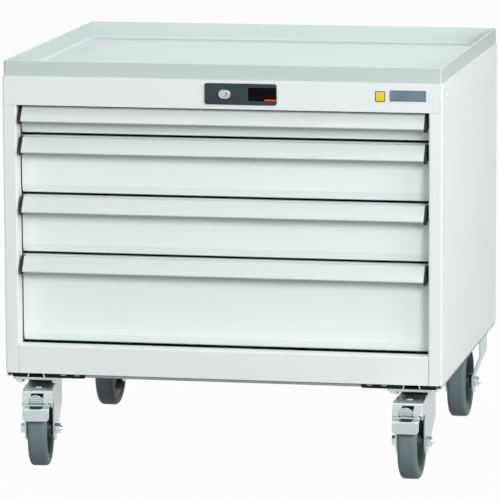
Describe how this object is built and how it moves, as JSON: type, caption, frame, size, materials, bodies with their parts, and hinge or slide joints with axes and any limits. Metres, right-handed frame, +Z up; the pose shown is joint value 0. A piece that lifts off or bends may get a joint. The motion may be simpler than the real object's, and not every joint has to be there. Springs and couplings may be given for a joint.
{
  "type": "rolling drawer cabinet",
  "caption": "Low steel drawer cabinet on casters, with a rimmed top tray, full-width grip strips on its drawers, a central lock and braked swivel casters at the front.",
  "frame": {"origin": "on the floor under the middle of the overall box, pedals and side screws included", "axes": "+X to the right as seen from the front, front towards -Y, +Z up"},
  "size_m": [0.739, 0.7046, 0.6815],
  "materials": {
    "carcass_paint": "fine satin powder coat, light grey",
    "drawer_paint": "fine satin powder coat, light grey",
    "grip_paint": "satin coated aluminium strip",
    "tray_paint": "satin powder coat, mid light grey",
    "bezel_plastic": "slate moulded plastic",
    "lock_nickel": "nickel plated",
    "black_plastic": "black moulded plastic",
    "galvanised_steel": "galvanised sheet",
    "bright_steel": "bright zinc plated",
    "caster_zinc": "zinc plated pressed steel",
    "rail_paint": "anthracite powder coat",
    "tyre_rubber": "grey non-marking rubber",
    "rim_plastic": "dark moulded plastic"
  },
  "bodies": {
    "cabinet": {"tray_top": "tray_paint", "top_cap": "carcass_paint", "left_side_panel": "carcass_paint", "right_side_panel": "carcass_paint", "back_panel": "carcass_paint", "bottom_panel": "carcass_paint", "bottom_rail": "carcass_paint", "rail_posts": "galvanised_steel", "cabinet_rails": "galvanised_steel", "cap_screws": "bright_steel", "lock_bezel": "bezel_plastic", "lock_housing": "lock_nickel", "lock_guides": "black_plastic", "caster_rails": "rail_paint", "base_strips": "carcass_paint", "caster_bolts": "bright_steel", "front_caster_plates": "caster_zinc", "swivel_seals": "black_plastic", "rear_caster_brackets": "caster_zinc"},
    "drawer_1": {"drawer_1_box": "drawer_paint", "drawer_1_front": "drawer_paint", "drawer_1_handle": "grip_paint", "drawer_1_end_caps": "black_plastic", "drawer_1_rails": "galvanised_steel"},
    "slides_1": {"drawer_1_slides": "galvanised_steel"},
    "drawer_2": {"drawer_2_box": "drawer_paint", "drawer_2_front": "drawer_paint", "drawer_2_handle": "grip_paint", "drawer_2_end_caps": "black_plastic", "drawer_2_rails": "galvanised_steel"},
    "slides_2": {"drawer_2_slides": "galvanised_steel"},
    "drawer_3": {"drawer_3_box": "drawer_paint", "drawer_3_front": "drawer_paint", "drawer_3_handle": "grip_paint", "drawer_3_end_caps": "black_plastic", "drawer_3_rails": "galvanised_steel"},
    "slides_3": {"drawer_3_slides": "galvanised_steel"},
    "drawer_4": {"drawer_4_box": "drawer_paint", "drawer_4_front": "drawer_paint", "drawer_4_handle": "grip_paint", "drawer_4_end_caps": "black_plastic", "drawer_4_rails": "galvanised_steel"},
    "slides_4": {"drawer_4_slides": "galvanised_steel"},
    "lock_core": {"lock_plug": "lock_nickel", "lock_shaft": "galvanised_steel"},
    "lock_bar": {"locking_bar": "galvanised_steel"},
    "left_caster": {"left_fork": "caster_zinc", "left_fork_axle": "bright_steel"},
    "left_pedal": {"left_brake_pedal": "caster_zinc"},
    "front_left_wheel": {"front_left_tyre": "tyre_rubber", "front_left_rim": "rim_plastic"},
    "rear_left_wheel": {"rear_left_tyre": "tyre_rubber", "rear_left_rim": "rim_plastic"},
    "right_caster": {"right_fork": "caster_zinc", "right_fork_axle": "bright_steel"},
    "right_pedal": {"right_brake_pedal": "caster_zinc"},
    "front_right_wheel": {"front_right_tyre": "tyre_rubber", "front_right_rim": "rim_plastic"},
    "rear_right_wheel": {"rear_right_tyre": "tyre_rubber", "rear_right_rim": "rim_plastic"}
  },
  "joints": [
    {"name": "drawer_1_slide", "type": "slide", "parent": "cabinet", "child": "drawer_1", "axis": [0, -1, 0], "range_m": [0, 0.54]},
    {"name": "slides_1_run", "type": "slide", "parent": "cabinet", "child": "slides_1", "axis": [0, -1, 0], "range_m": [0, 0.27]},
    {"name": "drawer_2_slide", "type": "slide", "parent": "cabinet", "child": "drawer_2", "axis": [0, -1, 0], "range_m": [0, 0.54]},
    {"name": "slides_2_run", "type": "slide", "parent": "cabinet", "child": "slides_2", "axis": [0, -1, 0], "range_m": [0, 0.27]},
    {"name": "drawer_3_slide", "type": "slide", "parent": "cabinet", "child": "drawer_3", "axis": [0, -1, 0], "range_m": [0, 0.54]},
    {"name": "slides_3_run", "type": "slide", "parent": "cabinet", "child": "slides_3", "axis": [0, -1, 0], "range_m": [0, 0.27]},
    {"name": "drawer_4_slide", "type": "slide", "parent": "cabinet", "child": "drawer_4", "axis": [0, -1, 0], "range_m": [0, 0.54]},
    {"name": "slides_4_run", "type": "slide", "parent": "cabinet", "child": "slides_4", "axis": [0, -1, 0], "range_m": [0, 0.27]},
    {"name": "lock_turn", "type": "hinge", "parent": "cabinet", "child": "lock_core", "pos_m": [0.01075, -0.28775, 0.633], "axis": [0, 1, 0], "range_deg": [0, 90]},
    {"name": "lock_bar_lift", "type": "slide", "parent": "cabinet", "child": "lock_bar", "axis": [0, 0, 1], "range_m": [0, 0.01131]},
    {"name": "left_swivel", "type": "hinge", "parent": "cabinet", "child": "left_caster", "pos_m": [-0.317, -0.23175, 0.138], "axis": [0, 0, 1], "continuous": true},
    {"name": "left_brake", "type": "hinge", "parent": "left_caster", "child": "left_pedal", "pos_m": [-0.30591, -0.32207, 0.1125], "axis": [0.9925, 0.1219, 0], "range_deg": [0, 10]},
    {"name": "front_left_roll", "type": "hinge", "parent": "left_caster", "child": "front_left_wheel", "pos_m": [-0.31164, -0.27542, 0.0625], "axis": [0.9925, 0.1219, 0], "continuous": true},
    {"name": "rear_left_roll", "type": "hinge", "parent": "cabinet", "child": "rear_left_wheel", "pos_m": [-0.317, 0.27025, 0.0625], "axis": [1, 0, 0], "continuous": true},
    {"name": "right_swivel", "type": "hinge", "parent": "cabinet", "child": "right_caster", "pos_m": [0.317, -0.23175, 0.138], "axis": [0, 0, 1], "continuous": true},
    {"name": "right_brake", "type": "hinge", "parent": "right_caster", "child": "right_pedal", "pos_m": [0.317, -0.32275, 0.1125], "axis": [1, 0, 0], "range_deg": [0, 10]},
    {"name": "front_right_roll", "type": "hinge", "parent": "right_caster", "child": "front_right_wheel", "pos_m": [0.317, -0.27575, 0.0625], "axis": [1, 0, 0], "continuous": true},
    {"name": "rear_right_roll", "type": "hinge", "parent": "cabinet", "child": "rear_right_wheel", "pos_m": [0.317, 0.27025, 0.0625], "axis": [1, 0, 0], "continuous": true}
  ],
  "couplings": [
    {"joint": "slides_1_run", "follows": "drawer_1_slide", "ratio": 0.5},
    {"joint": "slides_2_run", "follows": "drawer_2_slide", "ratio": 0.5},
    {"joint": "slides_3_run", "follows": "drawer_3_slide", "ratio": 0.5},
    {"joint": "slides_4_run", "follows": "drawer_4_slide", "ratio": 0.5},
    {"joint": "lock_turn", "follows": "lock_bar_lift", "rad_per_m": 138.84}
  ]
}
